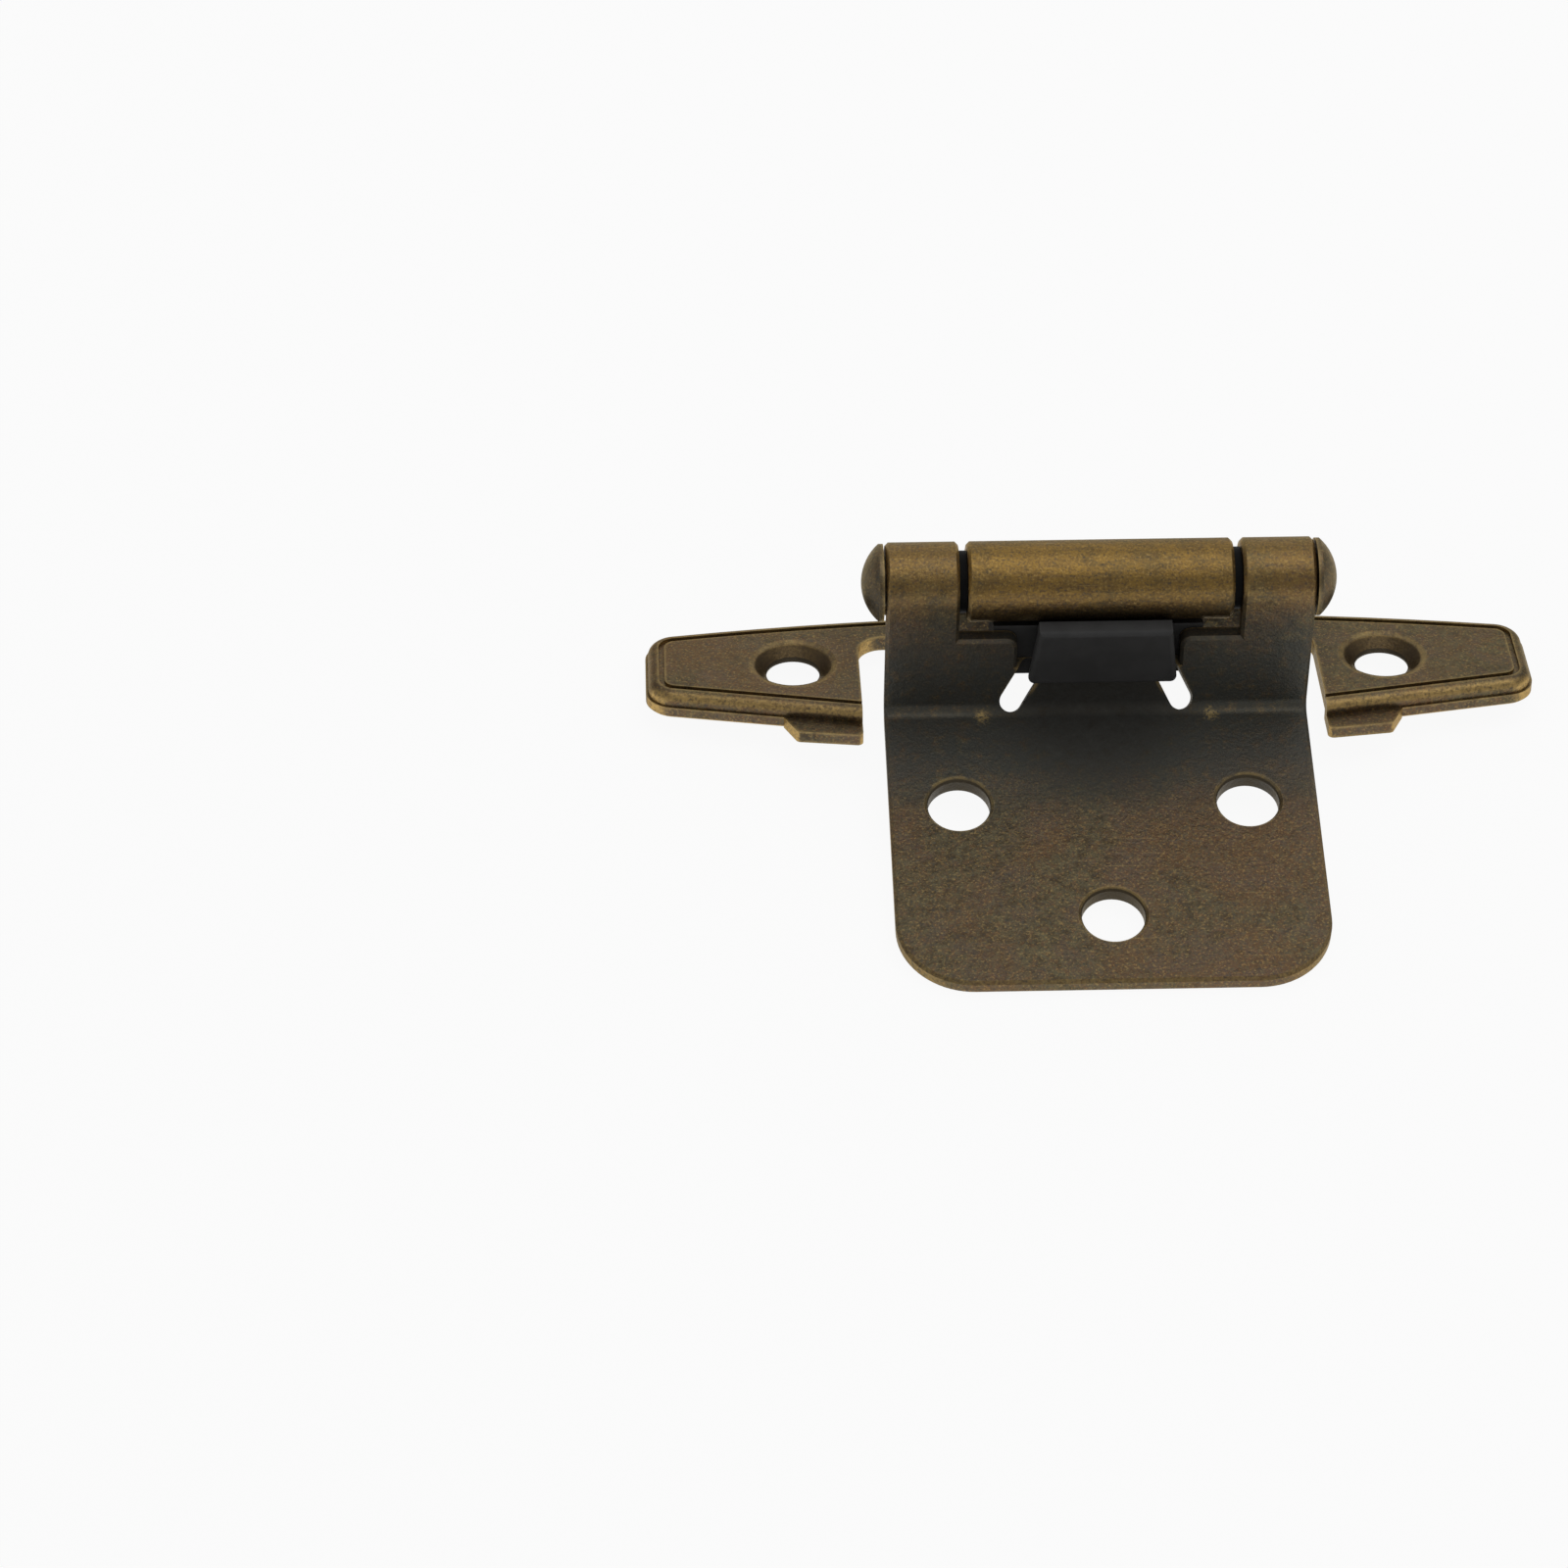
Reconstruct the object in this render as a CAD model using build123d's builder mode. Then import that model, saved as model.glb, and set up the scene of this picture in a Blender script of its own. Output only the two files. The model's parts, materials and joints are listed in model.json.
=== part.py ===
from build123d import *
from math import atan2, cos, radians, sin, tan
import os

# Self-closing overlay cabinet hinge: two stamped leaves, a headed pin and a moulded closer.
# Millimetres and degrees. +X runs along the pin, -Y towards the door, +Z up.
# The hinge lies at rest as on a table: it stands on the front edge of the door leaf and on the
# bowed edge of the frame leaf. The origin is under the middle of the bounding box.

# Sheet, knuckles and pin
sheet = 1.25
knuckle_radius = 3.1
roll_wrap = 280
barrel_length = 20.4
knuckle_length = 5.6
knuckle_gap = 0.65
pin_clearance = 0.05
head_gap = 0.15
head_radius = 3.0
head_rim = 0.35
head_height = 1.7
spacer_radius = 2.4
spacer_clearance = 0.05
edge_break = 0.2
top_break = 0.25

# How far the closer folds the leaves past parallel
over_close = 17

# Door leaf, measured from the pin's axis
door_drop = 10.0
door_reach = 31.1
door_corner = 5.8
door_hole_radius = 2.4
door_hole_pitch = 22.2
door_hole_row = 13.9
door_hole_front = 24.8
wall_lean = 8
bend_radius = 0.9

# Window and tongue in the door leaf's wall, measured down from the pin's axis
sill_drop = 3.4
narrow_half = 6.3
shoulder_corner = 0.9
narrow_drop = 6.2
tongue_top_drop = 5.1

# Slots beside the tongue, measured up from the corner of the bend on a plane that halves it
slot_width = 1.8
slot_length = 2.8
slot_slant = 30
slot_end_out = 6.6
slot_end_rise = 0.75

# Frame leaf, measured from the pin's axis
frame_drop = 12.85
panel_rise = 2.1
frame_length = 69.85
bow_reach = 13.2
bow_rise = 2.8
ear_inner_end = 1.6
ear_taper = 0.186
outer_corner = 2.4
inner_corner = 2.4
rim_rise = 0.95
rim_ledge = 0.2
shoulder_radius = 0.85
groove_inset = 1.05
groove_width = 0.45
groove_depth = 0.25
frame_hole_radius = 2.1
countersink_radius = 3.2
countersink_angle = 90
frame_hole_inset = 5.2
frame_hole_reach = 5.75
notch_width = 36.2
notch_reach = 9.4
notch_corner = 2.0
tab_length = 5.1
tab_reach = 1.6
tab_taper = 0.13
tab_slant = 1.0
tab_corner = 0.45
flange_reach = 5.15
flange_width = 28.4
flange_drop = 2.7
flange_corner = 0.6
flange_bend = 0.9
crease_bend = 0.5
slope = 52

# Closer, measured from the pin's axis in the door leaf's frame
closer_shift = 0.35
seat_clearance = 0.1
barrel_clearance = 0.4
flange_clearance = 0.1
lip_reach = 4.7
lip_top_drop = 1.0
lip_bottom_drop = 6.9
lip_top_width = 10.2
lip_bottom_width = 11.6
lip_corner = 0.5
lip_depth = 0.9
lip_round = 0.4
body_width = 16.2
body_drop = 7.6
nose_radius = 1.1
nose_drop = 4.6
eye_radius = 0.55

# Worked-out sizes
bore_radius = knuckle_radius - sheet
pin_radius = bore_radius - pin_clearance
window_half = barrel_length / 2 + knuckle_gap
door_half = window_half + knuckle_length
panel_drop = frame_drop - panel_rise
frame_half = frame_length / 2
notch_half = notch_width / 2
frame_hole_pitch = notch_width + 2 * frame_hole_inset
flange_outer = flange_reach + sheet
bow_end = bow_reach - bow_rise
lean = radians(wall_lean)

# Lie of the two leaves: both rest on the table with their outer bottom edges
fold = radians(over_close)
door_foot_drop = door_drop + sheet
door_foot_reach = door_reach - edge_break
frame_foot_reach = bow_reach - edge_break
lie_rise = frame_drop * cos(fold) + frame_foot_reach * sin(fold) - door_foot_drop
lie_run = door_foot_reach - frame_drop * sin(fold) + frame_foot_reach * cos(fold)
door_lie = atan2(lie_rise, lie_run)
frame_lie = fold - door_lie
pin_height = door_foot_drop * cos(door_lie) + door_foot_reach * sin(door_lie)
front_end = door_reach * cos(door_lie) - (door_drop + top_break) * sin(door_lie)
shoulder_reach = bow_reach - rim_ledge - shoulder_radius
shoulder_drop = panel_drop + shoulder_radius
shoulder_end = shoulder_reach * cos(frame_lie) - shoulder_drop * sin(frame_lie) + shoulder_radius
foot_end = bow_reach * cos(frame_lie) - (frame_drop - rim_rise) * sin(frame_lie)
back_end = max(shoulder_end, foot_end)
pin_centre = Vector(0, (front_end - back_end) / 2, pin_height)

# Planes through the pin's axis: flat ones along each leaf, side ones across the pin
door_flat = Plane(pin_centre, x_dir=(1, 0, 0), z_dir=(0, -sin(door_lie), cos(door_lie)))
door_side = Plane(pin_centre, x_dir=door_flat.y_dir, z_dir=(1, 0, 0))
wall_face = Plane(pin_centre, x_dir=(1, 0, 0), z_dir=(0, -cos(door_lie - lean), -sin(door_lie - lean)))
frame_flat = Plane(pin_centre, x_dir=(1, 0, 0), z_dir=(0, sin(frame_lie), cos(frame_lie)))
frame_side = Plane(pin_centre, x_dir=frame_flat.y_dir, z_dir=(1, 0, 0))
door_up = Axis(pin_centre, door_flat.z_dir)
door_back = Axis(pin_centre, door_flat.y_dir)
wall_out = Axis(pin_centre, wall_face.z_dir)
wall_up = Axis(pin_centre, wall_face.y_dir)
frame_up = Axis(pin_centre, frame_flat.z_dir)
frame_back = Axis(pin_centre, frame_flat.y_dir)


def level(shapes, axis, height, within=0.01):
    """The edges or corners that lie at one height along an axis."""
    return shapes.filter_by_position(axis, height - within, height + within)


def arcs(edges, radius, within=0.01):
    """The edges that are arcs of one radius."""
    return edges.filter_by(GeomType.CIRCLE).filter_by(lambda edge: abs(edge.radius - radius) < within)


def wall_at(drop, depth):
    """Place across the pin of a point in the wall: drop below the axis, depth in from the door's side."""
    out = knuckle_radius - depth
    return (-(out + drop * sin(lean)) / cos(lean), -drop)


# Door leaf: one sheet, traced along the side that meets the door, then pierced
bend_corner = wall_at(door_drop, 0)
roll_start = (-knuckle_radius * cos(lean), knuckle_radius * sin(lean))
slot_run = radians(slot_slant)
slot_middle_out = slot_end_out - slot_length / 2 * sin(slot_run)
slot_middle_rise = slot_end_rise + slot_length / 2 * cos(slot_run)
bend_facing = (wall_face.z_dir + door_flat.z_dir).normalized()
slot_face = Plane(door_side.from_local_coords((*bend_corner, 0)), x_dir=(1, 0, 0), z_dir=bend_facing)
rise_share = cos(lean / 2 - radians(45)) / cos(lean)


def tongue_half(drop):
    """Half width of the tongue between the slots, at a drop below the axis."""
    rise = (door_drop - drop) * rise_share - slot_end_rise
    return slot_end_out - slot_width / 2 / cos(slot_run) - rise * tan(slot_run)


with BuildPart() as door_leaf:
    with BuildSketch(door_side) as door_section:
        with BuildLine() as door_trace:
            FilletPolyline((-door_reach, -door_drop), bend_corner, roll_start, radius=bend_radius)
            CenterArc((0, 0), knuckle_radius, 180 - wall_lean, -roll_wrap)
            offset(amount=sheet, side=Side.RIGHT)
        make_face()
    extrude(amount=door_half, both=True)
    fillet(door_leaf.edges().filter_by(door_up).sort_by(door_back)[:2], door_corner)
    plate_top = door_leaf.faces().filter_by(door_up).sort_by(SortBy.AREA)[-2:].sort_by(door_up)[-1]
    chamfer(plate_top.edges().sort_by(door_back)[0], top_break)
    plate_bottom = door_leaf.faces().filter_by(door_up).sort_by(SortBy.AREA)[-2:].sort_by(door_up)[0]
    chamfer(plate_bottom.edges().sort_by(door_back)[0], edge_break)
    with BuildSketch(door_flat.offset(-door_drop)) as door_holes:
        with Locations((0, -door_hole_row)):
            with GridLocations(door_hole_pitch, 0, 2, 1):
                Circle(door_hole_radius)
        with Locations((0, -door_hole_front)):
            Circle(door_hole_radius)
    extrude(amount=-2 * sheet, mode=Mode.SUBTRACT)
    chamfer(level(arcs(door_leaf.edges(), door_hole_radius), door_up, -door_drop), top_break)
    with BuildSketch(wall_face) as window:
        with Locations((0, -sill_drop)):
            Rectangle(2 * window_half, sill_drop + 2 * knuckle_radius, align=(Align.CENTER, Align.MIN))
            Rectangle(2 * narrow_half, narrow_drop - sill_drop, align=(Align.CENTER, Align.MAX))
        fillet(level(window.vertices(), Axis.Y, -sill_drop).sort_by(Axis.X)[1:3], shoulder_corner)
        with BuildLine() as tongue_outline:
            Polyline(
                (-tongue_half(narrow_drop), -narrow_drop),
                (-tongue_half(tongue_top_drop), -tongue_top_drop),
                (tongue_half(tongue_top_drop), -tongue_top_drop),
                (tongue_half(narrow_drop), -narrow_drop),
                close=True,
            )
        make_face(mode=Mode.SUBTRACT)
    extrude(amount=knuckle_radius + sheet, both=True, mode=Mode.SUBTRACT)
    with BuildSketch(slot_face) as slots:
        for side in (-1, 1):
            with Locations((side * slot_middle_out, slot_middle_rise)):
                SlotCenterToCenter(slot_length, slot_width, rotation=90 + side * slot_slant)
    extrude(amount=3 * sheet, both=True, mode=Mode.SUBTRACT)
    sills = level(level(door_leaf.edges().filter_by(Axis.X), wall_out, knuckle_radius), wall_up, -sill_drop)
    rolls = arcs(door_leaf.edges(), knuckle_radius)
    inner_rolls = level(rolls, Axis.X, -window_half) + level(rolls, Axis.X, window_half)
    chamfer(sills + inner_rolls, top_break)

# Frame leaf: a shallow pan with a notch, and a flange, tongue and barrel traced along its upper side
tab_end = notch_half + tab_length
roll_angle = 90 - slope
roll_turn = radians(roll_angle)
crease_drop = (flange_outer * cos(roll_turn) - knuckle_radius) / sin(roll_turn)
crease_inside_drop = (flange_reach * cos(roll_turn) - bore_radius) / sin(roll_turn)
barrel_start = (knuckle_radius * cos(roll_turn), knuckle_radius * sin(roll_turn))
bore_start = (bore_radius * cos(roll_turn), bore_radius * sin(roll_turn))
tongue_foot_drop = crease_drop + crease_bend + sheet
flange_plate_end = flange_outer + flange_bend + sheet


def ear_edge(out):
    """Inner edge of an ear, at a distance along the pin from the middle."""
    return ear_inner_end - (frame_half - out) * ear_taper


with BuildPart() as frame_leaf:
    with BuildSketch(frame_flat.offset(-frame_drop)) as pan_outline:
        with BuildLine() as pan_edge:
            ThreePointArc((-frame_half, bow_end), (0, bow_reach), (frame_half, bow_end))
            Polyline(
                (frame_half, bow_end),
                (frame_half, ear_inner_end),
                (notch_half, ear_edge(notch_half)),
                (-notch_half, ear_edge(notch_half)),
                (-frame_half, ear_inner_end),
                (-frame_half, bow_end),
            )
        make_face()
        ends = pan_outline.vertices().sort_by(Axis.X)
        fillet(ends[:2].sort_by(Axis.Y)[1:] + ends[-2:].sort_by(Axis.Y)[1:], outer_corner)
        fillet(level(pan_outline.vertices(), Axis.Y, ear_inner_end), inner_corner)
    extrude(amount=rim_rise)
    chamfer(frame_leaf.faces().sort_by(frame_up)[0].edges(), edge_break)
    with BuildSketch(frame_flat.offset(-frame_drop)) as panel_outline:
        offset(pan_outline.sketch_local, amount=-rim_ledge)
    extrude(amount=panel_rise)
    fillet(frame_leaf.faces().sort_by(frame_up)[-1].edges(), shoulder_radius)
    with BuildSketch(frame_flat.offset(-frame_drop)) as hollow:
        offset(pan_outline.sketch_local, amount=-sheet)
    extrude(amount=panel_rise - sheet, mode=Mode.SUBTRACT)
    with BuildSketch(frame_flat.offset(-panel_drop)) as groove:
        offset(pan_outline.sketch_local, amount=-groove_inset)
        offset(pan_outline.sketch_local, amount=-groove_inset - groove_width, mode=Mode.SUBTRACT)
    extrude(amount=-groove_depth, mode=Mode.SUBTRACT)
    with BuildSketch(frame_flat.offset(-frame_drop)) as notch:
        with Locations((0, notch_reach)):
            Rectangle(notch_width, 2 * notch_reach, align=(Align.CENTER, Align.MAX))
        fillet(notch.vertices().group_by(Axis.Y)[-1], notch_corner)
        with Locations((0, flange_outer + flange_bend)):
            Rectangle(flange_width, notch_reach, align=(Align.CENTER, Align.MIN), mode=Mode.SUBTRACT)
    extrude(amount=2 * panel_rise, mode=Mode.SUBTRACT)
    with BuildSketch(frame_flat.offset(-frame_drop)) as tabs:
        for side in (-1, 1):
            with BuildLine() as tab_outline:
                Polyline(
                    (side * notch_half, ear_edge(notch_half) + sheet / 2),
                    (side * notch_half, ear_edge(notch_half) - tab_reach),
                    (side * tab_end, ear_edge(notch_half) - tab_reach + tab_length * tab_taper),
                    (side * (tab_end + tab_slant), ear_edge(tab_end + tab_slant)),
                    (side * (tab_end + tab_slant), ear_edge(tab_end + tab_slant) + sheet / 2),
                    close=True,
                )
            make_face()
        fillet(tabs.vertices().sort_by(Axis.Y)[:4], tab_corner)
    extrude(amount=rim_rise)
    with BuildSketch(frame_side) as barrel_section:
        with BuildLine() as barrel_outline:
            outside = FilletPolyline(
                (flange_outer, -tongue_foot_drop),
                (flange_outer, -crease_drop),
                barrel_start,
                radius=crease_bend + sheet,
            )
            inside = FilletPolyline(
                (flange_reach, -tongue_foot_drop),
                (flange_reach, -crease_inside_drop),
                bore_start,
                radius=crease_bend,
            )
            roll_outside = CenterArc((0, 0), knuckle_radius, roll_angle, roll_wrap)
            roll_inside = CenterArc((0, 0), bore_radius, roll_angle, roll_wrap)
            Line(outside @ 0, inside @ 0)
            Line(roll_outside @ 1, roll_inside @ 1)
        make_face()
    extrude(amount=barrel_length / 2, both=True)
    rolls = arcs(frame_leaf.edges(), knuckle_radius).sort_by(Axis.X)
    chamfer(rolls[:1] + rolls[-1:], top_break)
    with BuildSketch(frame_side) as flange_section:
        with BuildLine() as flange_outline:
            outside = FilletPolyline(
                (flange_plate_end, -panel_drop),
                (flange_outer, -panel_drop),
                (flange_outer, -flange_drop),
                radius=flange_bend,
            )
            inside = FilletPolyline(
                (flange_plate_end, -panel_drop - sheet),
                (flange_reach, -panel_drop - sheet),
                (flange_reach, -flange_drop),
                radius=flange_bend + sheet,
            )
            Line(outside @ 0, inside @ 0)
            Line(outside @ 1, inside @ 1)
        make_face()
    extrude(amount=flange_width / 2, both=True)
    flange_tops = level(frame_leaf.edges().filter_by(frame_back), frame_up, -flange_drop).sort_by(Axis.X)
    fillet(flange_tops[:1] + flange_tops[-1:], flange_corner)
    with Locations(frame_flat.offset(-panel_drop)):
        with Locations((0, frame_hole_reach)):
            with GridLocations(frame_hole_pitch, 0, 2, 1):
                CounterSinkHole(frame_hole_radius, countersink_radius, panel_rise, countersink_angle)
    chamfer(level(arcs(frame_leaf.edges(), countersink_radius), frame_up, -panel_drop), top_break)

# Pin: shank through the knuckles, with a domed head at each end
head_start = door_half + head_gap
with BuildPart() as hinge_pin:
    with BuildSketch(Plane(pin_centre, x_dir=(1, 0, 0), z_dir=(0, -1, 0))) as pin_section:
        Rectangle(2 * head_start, pin_radius, align=(Align.CENTER, Align.MIN))
        for side in (-1, 1):
            rim_end = side * (head_start + head_rim)
            with BuildLine() as head_outline:
                SagittaArc((rim_end, -head_radius), (rim_end, head_radius), -side * (head_height - head_rim))
                Polyline(
                    (rim_end, -head_radius),
                    (side * head_start, -head_radius),
                    (side * head_start, head_radius),
                    (rim_end, head_radius),
                )
            make_face()
        Rectangle(4 * head_start, 2 * head_radius, align=(Align.CENTER, Align.MAX), mode=Mode.SUBTRACT)
    revolve(axis=Axis(pin_centre, (1, 0, 0)))

# Spacers: a ring round the pin in each gap beside the barrel
spacer_start = barrel_length / 2 + spacer_clearance
spacer_length = knuckle_gap - 2 * spacer_clearance


def spacer(side):
    """Spacer ring in the gap on one side of the barrel."""
    with BuildPart() as ring:
        with BuildSketch(door_side.offset(side * spacer_start)):
            Circle(spacer_radius)
            Circle(bore_radius, mode=Mode.SUBTRACT)
        extrude(amount=side * spacer_length)
    return ring.part


left_spacer = spacer(-1)
right_spacer = spacer(1)

# Closer: a lip in front of the tongue, a neck through the window, and a body with an eyed nose
nose_out = flange_reach - flange_clearance - nose_radius
nose_y = nose_out * cos(fold) - nose_drop * sin(fold)
nose_z = -nose_out * sin(fold) - nose_drop * cos(fold)
hollow_radius = knuckle_radius + barrel_clearance
body_front = sheet + seat_clearance
neck_bottom = -tongue_top_drop * cos(lean) + knuckle_radius * sin(lean) + seat_clearance

with BuildPart() as closer_block:
    with BuildSketch(door_side) as closer_section:
        with BuildLine() as body_outline:
            Polyline(
                wall_at(body_drop, body_front),
                wall_at(lip_top_drop, body_front),
                (nose_y, nose_z + nose_radius),
                (nose_y, nose_z - nose_radius),
                (0, -body_drop),
                close=True,
            )
        make_face()
        with Locations((nose_y, nose_z)):
            Circle(nose_radius)
    extrude(amount=body_width / 2, both=True)
    lip_face = Plane(door_side.from_local_coords((-lip_reach, 0, closer_shift)), (1, 0, 0), -door_flat.y_dir)
    with BuildSketch(lip_face) as lip:
        with BuildLine() as lip_outline:
            Polyline(
                (-lip_top_width / 2, -lip_top_drop),
                (lip_top_width / 2, -lip_top_drop),
                (lip_bottom_width / 2, -lip_bottom_drop),
                (-lip_bottom_width / 2, -lip_bottom_drop),
                close=True,
            )
        make_face()
        fillet(lip.vertices().group_by(Axis.Y)[0], lip_corner)
    extrude(amount=-lip_depth)
    fillet(closer_block.faces().sort_by(door_back)[0].edges(), lip_round)
    with BuildSketch(door_side.offset(closer_shift)) as neck_section:
        with BuildLine() as neck_outline:
            Polyline(
                (-lip_reach + lip_depth / 2, neck_bottom),
                (-lip_reach + lip_depth / 2, -lip_top_drop - lip_round),
                (-lip_reach + lip_depth, -lip_top_drop),
                (-bore_radius, -lip_top_drop),
                (-bore_radius, neck_bottom),
                close=True,
            )
        make_face()
    extrude(amount=lip_top_width / 2, both=True)
    with BuildSketch(door_side) as clearances:
        Circle(hollow_radius)
        with BuildLine() as tongue_seat:
            Polyline(
                wall_at(-neck_bottom, -seat_clearance),
                wall_at(-neck_bottom, body_front),
                wall_at(2 * body_drop, body_front),
                wall_at(2 * body_drop, -seat_clearance),
                close=True,
            )
        make_face()
        with Locations((nose_y, nose_z)):
            Circle(eye_radius)
    extrude(amount=body_width, both=True, mode=Mode.SUBTRACT)

os.makedirs("parts", exist_ok=True)
door_leaf.part.label = "door_leaf"
export_step(door_leaf.part, "parts/door_leaf.step")
frame_leaf.part.label = "frame_leaf"
export_step(frame_leaf.part, "parts/frame_leaf.step")
hinge_pin.part.label = "hinge_pin"
export_step(hinge_pin.part, "parts/hinge_pin.step")
left_spacer.label = "left_spacer"
export_step(left_spacer, "parts/left_spacer.step")
right_spacer.label = "right_spacer"
export_step(right_spacer, "parts/right_spacer.step")
closer_block.part.label = "closer_block"
export_step(closer_block.part, "parts/closer_block.step")
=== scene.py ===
import json
from functools import reduce
from math import cos, pi, radians, sin

import bpy
from mathutils import Matrix, Vector

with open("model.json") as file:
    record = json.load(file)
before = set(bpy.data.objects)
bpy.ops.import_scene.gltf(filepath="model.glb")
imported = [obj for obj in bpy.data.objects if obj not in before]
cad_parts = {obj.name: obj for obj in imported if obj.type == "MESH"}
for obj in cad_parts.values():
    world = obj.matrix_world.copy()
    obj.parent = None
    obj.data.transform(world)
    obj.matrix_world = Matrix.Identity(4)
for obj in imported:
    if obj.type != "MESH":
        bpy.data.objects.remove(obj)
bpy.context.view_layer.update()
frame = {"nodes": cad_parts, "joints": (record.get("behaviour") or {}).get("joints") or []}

# Camera, as in the photograph (metres and degrees, with the lens and its sensor in millimetres)
CAMERA_PLACE = (-0.035121, -0.28545, 0.275016)
CAMERA_AZIMUTH = -2.150
CAMERA_ELEVATION = 43.633
CAMERA_ROLL = 0.562
CAMERA_LENS = 117.65
SENSOR_WIDTH = 36
CLIP_START = 0.01
CLIP_END = 10

# Floor and light (metres, with white at a radiance of 1)
FLOOR_SIZE = 3.0
PAPER_GREY = 0.88
PAPER_GLOW = 0.93
TENT_RADIANCE = 0.33
OVERHEAD_PLACE = (0.08, 0.02, 0.42)
OVERHEAD_SIZE = 0.42
OVERHEAD_RADIANCE = 0.8
BEHIND_PLACE = (0.05, 0.50, 0.23)
BEHIND_SIZE = 0.40
BEHIND_RADIANCE = 0.47

# Places on the hinge in millimetres, for marks in the finish, painted shade and painted highlight
PIN_Y, PIN_Z = [1000 * value for value in frame["joints"][0]["pos_m"][1:]]
KNUCKLE_RADIUS = 3.1
BEND = (0, PIN_Y - 3.3, PIN_Z - 10.5)
SPOT_OUT = 8.9
SPOT_FORWARD = 0.7
DOOR_HOLES = ((-11.1, -3.15), (11.1, -3.15), (0.0, -13.98))
DOOR_HOLE_RADIUS = 2.4
FRAME_HOLES = ((-23.3, 13.05), (23.3, 13.05))
FRAME_HOLE_RADIUS = 2.1
COUNTERSINK_RADIUS = 3.2
FRAME_MIDDLE = (0, 16, 0)
LEFT_HEAD = (-17.5, PIN_Y - 1.5, PIN_Z - 1.5)

# Axes that a distance counts
ALL_AXES = (1, 1, 1)
ROUND_THE_PIN = (0, 1, 1)
SEEN_FROM_ABOVE = (1, 1, 0)
SEEN_FROM_ABOVE_FLATTENED = (1, 1.2, 0)

# Relief and worn edges (metres)
RELIEF_STRENGTH = 0.4
PLATING_RELIEF = 0.00015
PLATING_EDGE = 0.0004
NYLON_RELIEF = 0.00002
NYLON_EDGE = 0.00025

# Colours of the plating
UMBER = (0.082, 0.058, 0.036)
OLIVE = (0.170, 0.148, 0.088)
RUST = (0.178, 0.102, 0.056)
PLUM = (0.150, 0.108, 0.082)
SLATE = (0.072, 0.075, 0.074)
# Laid round the pin, partly as rubbed wear and partly as painted highlight.
BRASS = (0.350, 0.212, 0.056)
WORN = (0.450, 0.325, 0.136)
# Laid as fine specks, and on shoulders that lean to the front partly as wear and partly as painted
# highlight.
GILT = (0.580, 0.390, 0.145)
# Laid as tarnish on the pin, and in the door leaf's bend as patina together with painted shade.
OXIDE = (0.062, 0.069, 0.066)
# Near-black, laid as painted shade round the frame leaf's middle and the pin's left head, and in the
# middle of the door leaf's bend as patina together with painted shade.
NEAR_BLACK = (0.036, 0.037, 0.036)
# Laid as painted shade on the holes' walls.
HOLE_SHADE = (0.040, 0.032, 0.022)
EDGE_TINT = (0.93, 0.82, 0.62, 1)


def grey(level):
    """A neutral colour."""
    return (level, level, level)


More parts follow.
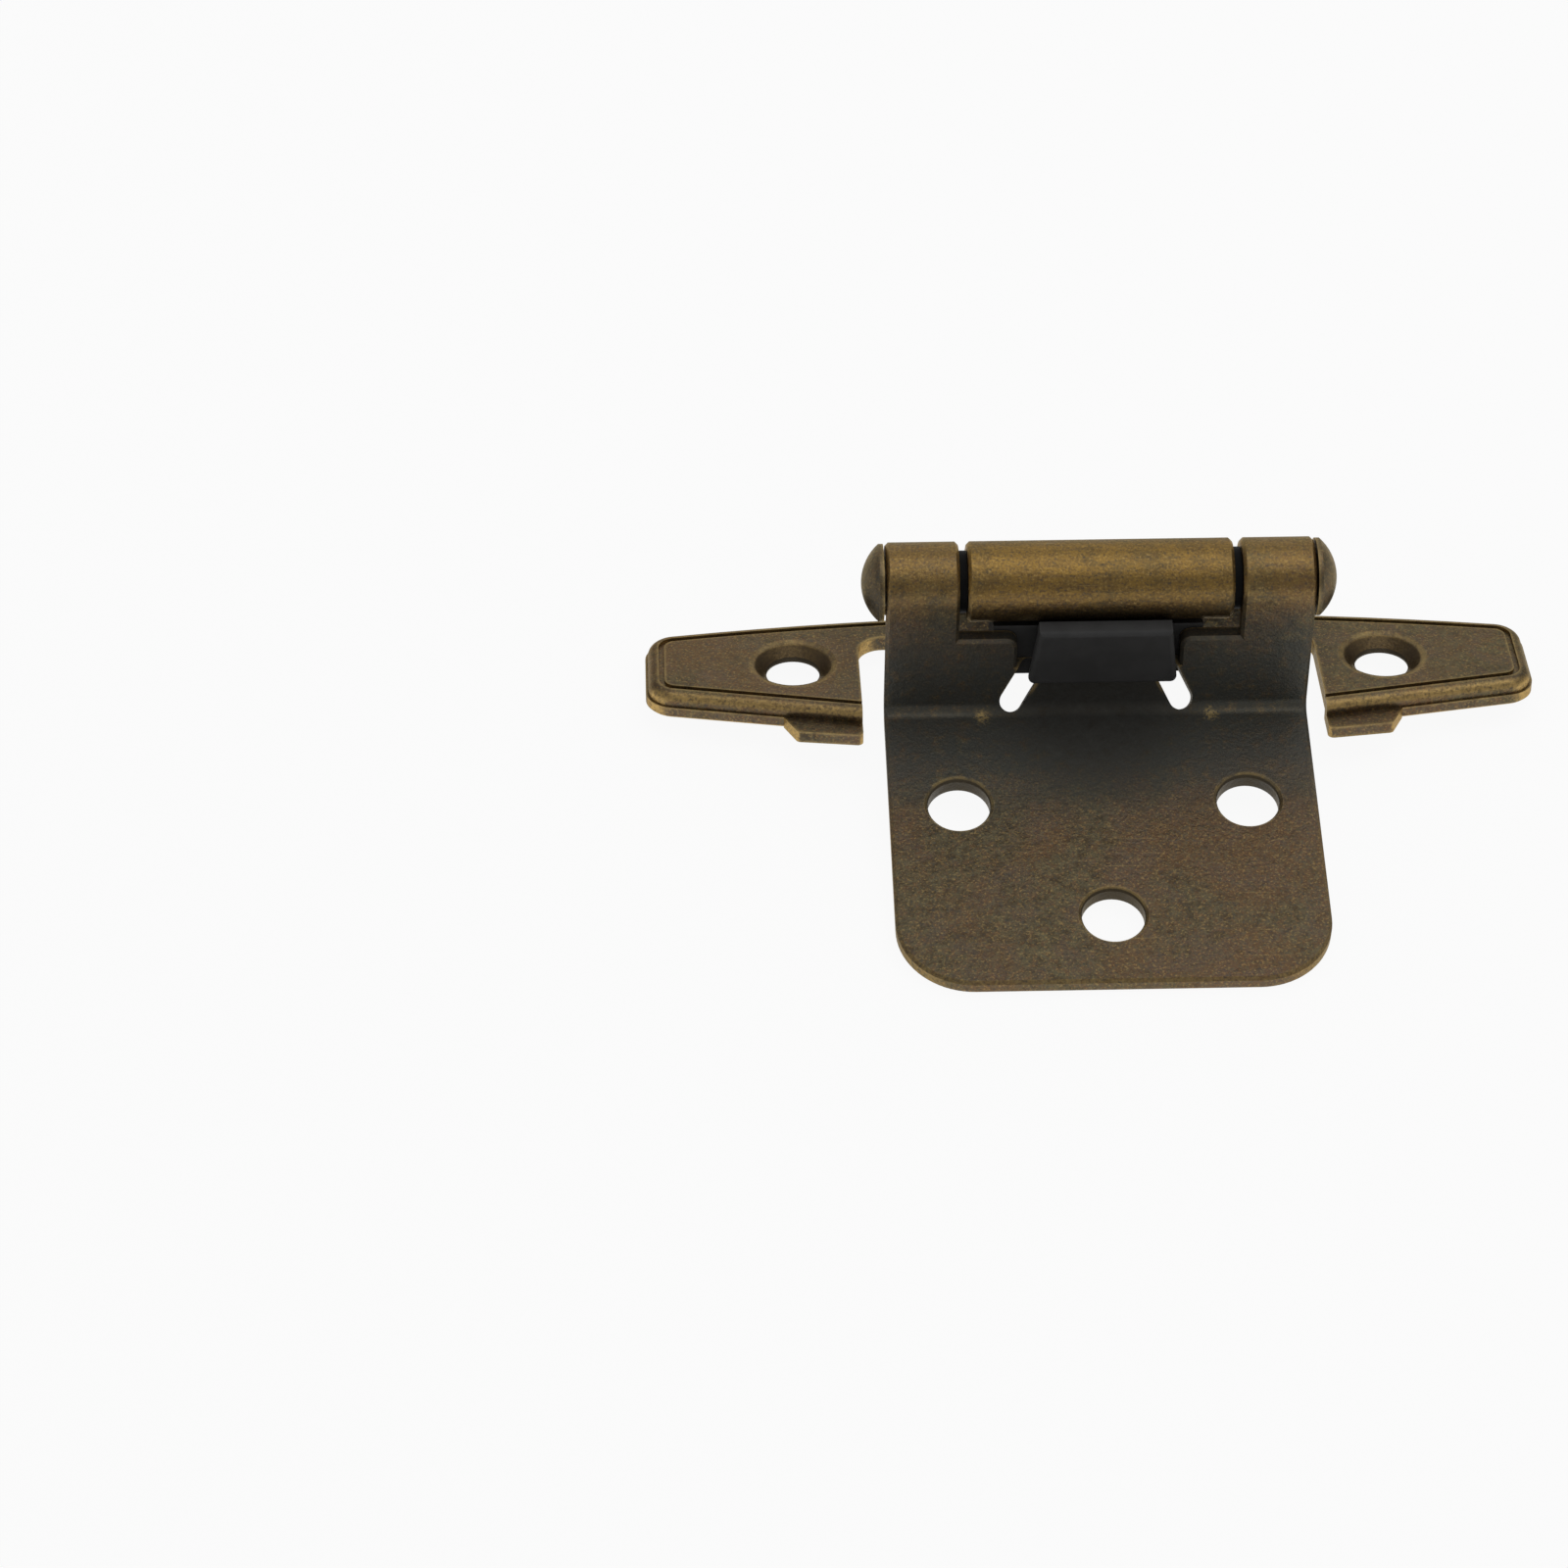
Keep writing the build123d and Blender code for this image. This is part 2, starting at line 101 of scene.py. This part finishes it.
class Surface:
    """A node material in the making. Places are in millimetres in the object's own frame."""

    def __init__(self, name):
        self.material = bpy.data.materials.new(name)
        self.material.use_nodes = True
        self.tree = self.material.node_tree
        self.tree.nodes.clear()
        self.where = self.node("ShaderNodeTexCoord")
        in_millimetres = self.node(
            "ShaderNodeMapping",
            values={"Scale": (1000, 1000, 1000)},
            links={"Vector": self.where.outputs["Object"]},
        )
        self.place = in_millimetres.outputs["Vector"]

    def node(self, kind, values=None, links=None, **settings):
        """A node with its settings made and its inputs filled or linked, by name or number."""
        node = self.tree.nodes.new(kind)
        for name, value in settings.items():
            setattr(node, name, value)
        for name, value in (values or {}).items():
            node.inputs[name].default_value = value
        for name, socket in (links or {}).items():
            self.tree.links.new(socket, node.inputs[name])
        return node

    def join(self, operation, first, second):
        """Two numbers or sockets put together by a sum or the like."""
        node = self.node("ShaderNodeMath", operation=operation)
        for place, value in enumerate((first, second)):
            if isinstance(value, float):
                node.inputs[place].default_value = value
            else:
                self.tree.links.new(value, node.inputs[place])
        return node.outputs[0]

    def share(self, first, second):
        """A socket times a number or another socket."""
        return self.join("MULTIPLY", first, second)

    def mask(self, value, low, high):
        """Value stretched to run smoothly from 0 at low to 1 at high."""
        node = self.node(
            "ShaderNodeMapRange",
            interpolation_type="SMOOTHSTEP",
            values={"From Min": low, "From Max": high},
            links={"Value": value},
        )
        return node.outputs["Result"]

    def all_of(self, *masks):
        """The masks multiplied together, which is 1 only where each of them is."""
        return reduce(self.share, masks)

    def mix(self, factor, first, second):
        """First turning into second as factor goes from 0 to 1. Each is a colour or a socket."""
        node = self.node("ShaderNodeMix", data_type="RGBA", links={0: factor})
        for place, colour in ((6, first), (7, second)):
            if isinstance(colour, tuple):
                node.inputs[place].default_value = (*colour, 1.0)
            else:
                self.tree.links.new(colour, node.inputs[place])
        return node.outputs[2]

    def scaled_place(self, scale):
        """The place with each axis times its own scale."""
        node = self.node(
            "ShaderNodeVectorMath",
            operation="MULTIPLY",
            values={1: scale},
            links={0: self.place},
        )
        return node.outputs["Vector"]

    def noise(self, scale, detail, roughness, stretch=ALL_AXES):
        """Noise of so many features per millimetre, drawn out along an axis where stretch is under 1."""
        node = self.node(
            "ShaderNodeTexNoise",
            values={"Scale": scale, "Detail": detail, "Roughness": roughness, "Distortion": 0.3},
            links={"Vector": self.scaled_place(stretch)},
        )
        return node.outputs["Fac"]

    def distance(self, point, axes=ALL_AXES):
        """Distance from a point, or from a line through it along the axis that is left out."""
        node = self.node(
            "ShaderNodeVectorMath",
            operation="DISTANCE",
            values={1: [value * axis for value, axis in zip(point, axes)]},
            links={0: self.scaled_place(axes)},
        )
        return node.outputs["Value"]

    def edges(self, reach, low, high):
        """1 on sharp edges and 0 on flats: how much of a small ball under the surface is outside it."""
        filled = self.node(
            "ShaderNodeAmbientOcclusion",
            samples=8,
            inside=True,
            only_local=True,
            values={"Distance": reach},
        )
        return self.mask(self.join("SUBTRACT", 1.0, filled.outputs["AO"]), low, high)

    def shade(self, relief, depth, values, links):
        """The shader, with its relief, and the material's output."""
        bump = self.node(
            "ShaderNodeBump",
            values={"Strength": RELIEF_STRENGTH, "Distance": depth},
            links={"Height": relief},
        )
        shader = self.node(
            "ShaderNodeBsdfPrincipled",
            values=values,
            links={**links, "Normal": bump.outputs["Normal"]},
        )
        self.node("ShaderNodeOutputMaterial", links={"Surface": shader.outputs["BSDF"]})
        return self.material


class Plating(Surface):
    """Dark antique brass plating, mottled in browns, on which layers of wear and dirt, painted shade and
    painted highlight are laid in turn.
    """

    def __init__(self, name):
        super().__init__(name)
        facing = self.node("ShaderNodeSeparateXYZ", links={0: self.where.outputs["Normal"]})
        self.facing_back = facing.outputs["Y"]
        self.height = self.node("ShaderNodeSeparateXYZ", links={0: self.place}).outputs["Z"]
        self.from_pin = self.distance((0, PIN_Y, PIN_Z), ROUND_THE_PIN)
        self.cloud = self.noise(scale=0.13, detail=3.0, roughness=0.5)
        self.patch = self.noise(scale=0.3, detail=4.0, roughness=0.6)
        self.mottle = self.noise(scale=1.0, detail=5.0, roughness=0.68)
        self.fleck = self.noise(scale=2.0, detail=3.0, roughness=0.6)
        self.grain = self.noise(scale=3.6, detail=3.0, roughness=0.6)
        self.speck = self.noise(scale=5.5, detail=2.0, roughness=0.5)
        self.streak = self.noise(scale=2.4, detail=3.0, roughness=0.6, stretch=(0.15, 1, 1))
        self.hairline = self.noise(scale=4.5, detail=0.0, roughness=0.5, stretch=(0.03, 1, 1))

        self.worn = self.share(self.edges(PLATING_EDGE, 0.12, 0.55), self.mask(self.mottle, 0.15, 0.65))
        self.metallic = self.join("SUBTRACT", 0.95, self.share(self.mask(self.mottle, 0.48, 0.30), 0.2))
        self.roughness = self.join("ADD", self.share(self.mottle, 0.24), 0.30)
        self.colour = self.mix(self.mask(self.mottle, 0.31, 0.69), UMBER, OLIVE)
        self.lay(RUST, self.mask(self.cloud, 0.42, 0.62), 0.7)
        self.lay(PLUM, self.mask(self.patch, 0.46, 0.62), 0.6)
        self.lay(RUST, self.mask(self.fleck, 0.48, 0.64), 0.6)
        self.lay(OLIVE, self.mask(self.grain, 0.45, 0.65), 0.5)
        self.lay(UMBER, self.mask(self.fleck, 0.45, 0.32), 0.5)

    def lay(self, colour, mask, amount):
        """Lay a colour on, by that amount where the mask is 1."""
        self.colour = self.mix(self.share(mask, amount), self.colour, colour)

    def dull(self, mask, amount):
        """Make the surface less of a metal, by that amount where the mask is 1."""
        self.metallic = self.join("SUBTRACT", self.metallic, self.share(mask, amount))

    def tarnish(self, amount):
        """Grey all over, in the mottle's pattern."""
        self.lay(OXIDE, self.mask(self.mottle, 0.3, 0.6), amount)

    def paint_shade(self, point, axes, start, full, amount):
        """Painted shade and dark reflection: darken the surroundings of a point, from start inwards to
        full.
        """
        self.lay(NEAR_BLACK, self.mask(self.distance(point, axes), start, full), amount)

    def rub_and_highlight_round_pin(self, amount):
        """Bright brass on what is rolled round the pin, at the front and on top, partly rubbed wear and
        partly painted highlight.
        """
        brightened = self.all_of(
            self.mask(self.from_pin, KNUCKLE_RADIUS + 0.9, KNUCKLE_RADIUS - 0.1),
            self.mask(self.height, PIN_Z - 2.5, PIN_Z + 2.3),
            self.mask(self.facing_back, 0.7, -0.1),
            self.mask(self.patch, 0.15, 0.56),
            self.mask(self.streak, 0.05, 0.55),
            self.mask(self.grain, 0.05, 0.62),
        )
        # Painted highlight together with rubbed wear on the barrel and knuckles.
        self.lay(BRASS, brightened, amount)
        self.roughness = self.join("SUBTRACT", self.roughness, self.share(brightened, 0.06))

    def gild_and_highlight_shoulders(self, amount):
        """Bright brass on the slopes and shoulders that lean to the front, away from the pin, partly wear
        and partly painted highlight.
        """
        leaning = self.all_of(
            self.mask(self.facing_back, -0.1, -0.5),
            self.mask(self.facing_back, -0.98, -0.82),
            self.mask(self.from_pin, 10.0, 11.5),
            self.mask(self.grain, 0.15, 0.65),
        )
        # Painted highlight together with wear on the front-leaning shoulders.
        self.lay(GILT, leaning, amount)

    def speckle(self, bright):
        """Fine bright and dark specks, with a few straight hairline scratches."""
        self.lay(GILT, self.mask(self.speck, 0.54, 0.70), bright)
        self.lay(SLATE, self.mask(self.speck, 0.46, 0.28), 0.6)
        scratched = self.share(self.mask(self.hairline, 0.77, 0.83), self.mask(self.cloud, 0.46, 0.56))
        self.lay(WORN, scratched, 0.3)

    def blacken_bend(self):
        """Dark oxide patina and painted shade in the door leaf's bend, darkest and dullest in its middle.
        """
        from_bend = self.distance(BEND, ROUND_THE_PIN)
        ragged = self.join("ADD", from_bend, self.share(self.patch, 7.0))
        near_bend = self.share(self.mask(ragged, 16.5, 7.5), self.mask(self.mottle, 0.85, 0.45))
        middle = self.mask(self.distance(BEND), 12.0, 3.0)
        # Patina together with painted shade, grey near the bend and near-black in its middle.
        self.lay(OXIDE, near_bend, 0.88)
        self.lay(NEAR_BLACK, middle, 0.9)
        self.dull(near_bend, 0.5)
        self.dull(middle, 0.25)
        self.roughness = self.join("ADD", self.roughness, self.share(middle, 0.3))
        self.worn = self.share(self.worn, self.mask(from_bend, 1.2, 2.4))

    def wear_edges(self):
        """Bare brass along the sharp edges."""
        self.lay(WORN, self.worn, 0.8)

    def finish_holes(self, holes, hole_radius, rim_radius):
        """Give each hole painted shade on its wall and on the slope where it is sunk, and a worn rim."""
        for x, y in holes:
            from_hole = self.distance((x, y, 0), SEEN_FROM_ABOVE)
            sunk = self.mask(from_hole, rim_radius, rim_radius - 0.3)
            rim = self.all_of(
                self.mask(from_hole, rim_radius + 0.40, rim_radius + 0.15),
                self.mask(from_hole, rim_radius - 0.3, rim_radius),
                self.mask(self.mottle, 0.25, 0.65),
            )
            inside = self.mask(from_hole, hole_radius + 0.12, hole_radius + 0.04)
            # Painted shade on the sunk slope and on the hole's wall.
            self.lay(UMBER, sunk, 0.85)
            self.lay(WORN, rim, 0.5)
            self.lay(HOLE_SHADE, inside, 0.9)
            self.dull(inside, 0.45)

    def pale_bend_spots(self):
        """Two small pale brass spots on the bend, one on each side."""
        _, y, z = BEND
        for x in (-SPOT_OUT, SPOT_OUT):
            from_spot = self.distance((x, y - SPOT_FORWARD, z))
            ragged_reach = self.join("ADD", from_spot, self.share(self.grain, 1.4))
            pale_spot = self.share(self.mask(ragged_reach, 1.5, 0.85), self.mask(self.speck, 0.30, 0.60))
            self.lay(WORN, pale_spot, 0.8)

    def finished(self):
        """The material with all its layers."""
        return self.shade(
            relief=self.join("ADD", self.share(self.grain, 0.6), self.mottle),
            depth=PLATING_RELIEF,
            values={"Specular Tint": EDGE_TINT},
            links={
                "Base Color": self.colour,
                "Metallic": self.metallic,
                "Roughness": self.roughness,
            },
        )


def frame_leaf_brass():
    """Plating with a well rubbed barrel that is also painted with a highlight, bright shoulders on the
    ears that are partly painted highlight, and painted shade in the middle.
    """
    brass = Plating("antique_brass_frame")
    # Painted shade over the middle of the frame leaf, next to the knuckles.
    brass.paint_shade(FRAME_MIDDLE, SEEN_FROM_ABOVE_FLATTENED, start=22.0, full=18.0, amount=0.3)
    brass.rub_and_highlight_round_pin(1.0)
    brass.gild_and_highlight_shoulders(1.0)
    brass.speckle(bright=0.33)
    brass.wear_edges()
    brass.finish_holes(FRAME_HOLES, FRAME_HOLE_RADIUS, COUNTERSINK_RADIUS)
    return brass.finished()


def door_leaf_brass():
    """Plating with knuckles rubbed and partly painted with highlight, a black bend of patina and painted
    shade, and two pale brass spots on it.
    """
    brass = Plating("antique_brass_door")
    brass.rub_and_highlight_round_pin(0.65)
    brass.gild_and_highlight_shoulders(0.35)
    brass.speckle(bright=0.33)
    brass.blacken_bend()
    brass.wear_edges()
    brass.finish_holes(DOOR_HOLES, DOOR_HOLE_RADIUS, DOOR_HOLE_RADIUS)
    brass.pale_bend_spots()
    return brass.finished()


def hinge_pin_brass():
    """Tarnished plating, little rubbed and little painted with highlight, with a painted dark reflection
    on the left head.
    """
    brass = Plating("antique_brass_pin")
    brass.tarnish(0.8)
    # Painted dark reflection on the pin's left head.
    brass.paint_shade(LEFT_HEAD, ALL_AXES, start=4.5, full=2.5, amount=0.85)
    brass.rub_and_highlight_round_pin(0.15)
    brass.speckle(bright=0.145)
    brass.wear_edges()
    return brass.finished()


def black_nylon(name, dark, light, gloss):
    """Matte black moulding between two greys, with a fine eggshell grain and slightly rubbed edges."""
    nylon = Surface(name)
    cloud = nylon.noise(scale=0.5, detail=4.0, roughness=0.55)
    grain = nylon.noise(scale=12.0, detail=3.0, roughness=0.6)
    brightened = nylon.share(nylon.edges(NYLON_EDGE, 0.15, 0.6), 0.4)
    colour = nylon.mix(nylon.mask(cloud, 0.3, 0.7), grey(dark), grey(light))
    colour = nylon.mix(brightened, colour, grey(1.5 * light))
    roughness = nylon.join("ADD", nylon.share(cloud, 0.15), 0.5)
    return nylon.shade(
        relief=grain,
        depth=NYLON_RELIEF,
        values={"Specular IOR Level": gloss},
        links={"Base Color": colour, "Roughness": roughness},
    )


def finish_nodes():
    """Give each node of the hinge its finish."""
    # The spacer rings get a darker copy of the black nylon, as painted shade in the gaps between the
    # knuckles.
    ring_nylon_painted_shade = black_nylon("black_nylon_ring_painted_shade", dark=0.006, light=0.009, gloss=0.08)
    finishes = {
        "frame_leaf": frame_leaf_brass(),
        "door_leaf": door_leaf_brass(),
        "hinge_pin": hinge_pin_brass(),
        "left_spacer": ring_nylon_painted_shade,
        "right_spacer": ring_nylon_painted_shade,
        "closer_block": black_nylon("black_nylon", dark=0.045, light=0.055, gloss=0.25),
    }
    for name, finish in finishes.items():
        slots = frame["nodes"][name].data.materials
        slots.clear()
        slots.append(finish)


def add_floor():
    """White table top that keeps a faint shadow of the hinge.

    The camera and reflections see it as white paper.
    """
    half = FLOOR_SIZE / 2
    corners = [(-half, -half, 0), (half, -half, 0), (half, half, 0), (-half, half, 0)]
    mesh = bpy.data.meshes.new("floor")
    mesh.from_pydata(corners, [], [(0, 1, 2, 3)])
    floor = bpy.data.objects.new("floor", mesh)
    bpy.context.scene.collection.objects.link(floor)
    table = Surface("white_table")
    rays = table.node("ShaderNodeLightPath")
    seen = table.join("MAXIMUM", rays.outputs["Is Camera Ray"], rays.outputs["Is Glossy Ray"])
    seen = table.join("MAXIMUM", seen, rays.outputs["Is Transmission Ray"])
    paper = table.node("ShaderNodeBsdfDiffuse", values={"Color": (*grey(PAPER_GREY), 1)})
    white = table.node("ShaderNodeEmission", values={"Color": (1, 1, 1, 1), "Strength": 1.0})
    both = table.node(
        "ShaderNodeMixShader",
        links={0: table.share(seen, PAPER_GLOW), 1: paper.outputs["BSDF"], 2: white.outputs["Emission"]},
    )
    table.node("ShaderNodeOutputMaterial", links={"Surface": both.outputs["Shader"]})
    mesh.materials.append(table.material)


def add_world():
    """Even white light from all round, as in a light tent."""
    world = bpy.data.worlds.new("tent")
    bpy.context.scene.world = world
    world.use_nodes = True
    background = world.node_tree.nodes["Background"]
    background.inputs["Color"].default_value = (1, 1, 1, 1)
    background.inputs["Strength"].default_value = TENT_RADIANCE


def add_softbox(name, place, size, radiance):
    """A square area light at place, facing the hinge, of that radiance."""
    lamp = bpy.data.lights.new(name, "AREA")
    lamp.size = size
    lamp.energy = radiance * pi * size * size
    box = bpy.data.objects.new(name, lamp)
    box.location = place
    box.rotation_euler = (-Vector(place)).to_track_quat("-Z", "Y").to_euler()
    bpy.context.scene.collection.objects.link(box)


def add_camera():
    """The photograph's camera, aimed by its angles."""
    data = bpy.data.cameras.new("camera")
    data.lens = CAMERA_LENS
    data.sensor_width = SENSOR_WIDTH
    data.clip_start = CLIP_START
    data.clip_end = CLIP_END
    camera = bpy.data.objects.new("camera", data)
    azimuth = radians(CAMERA_AZIMUTH)
    elevation = radians(CAMERA_ELEVATION)
    back = Vector((sin(azimuth) * cos(elevation), -cos(azimuth) * cos(elevation), sin(elevation)))
    aim = (-back).to_track_quat("-Z", "Y").to_matrix().to_4x4()
    roll = Matrix.Rotation(radians(CAMERA_ROLL), 4, "Z")
    camera.matrix_world = Matrix.Translation(CAMERA_PLACE) @ aim @ roll
    bpy.context.scene.collection.objects.link(camera)
    bpy.context.scene.camera = camera


finish_nodes()
add_floor()
add_world()
add_softbox("overhead", OVERHEAD_PLACE, OVERHEAD_SIZE, OVERHEAD_RADIANCE)
add_softbox("behind", BEHIND_PLACE, BEHIND_SIZE, BEHIND_RADIANCE)
add_camera()
bpy.context.scene.view_settings.view_transform = "Standard"
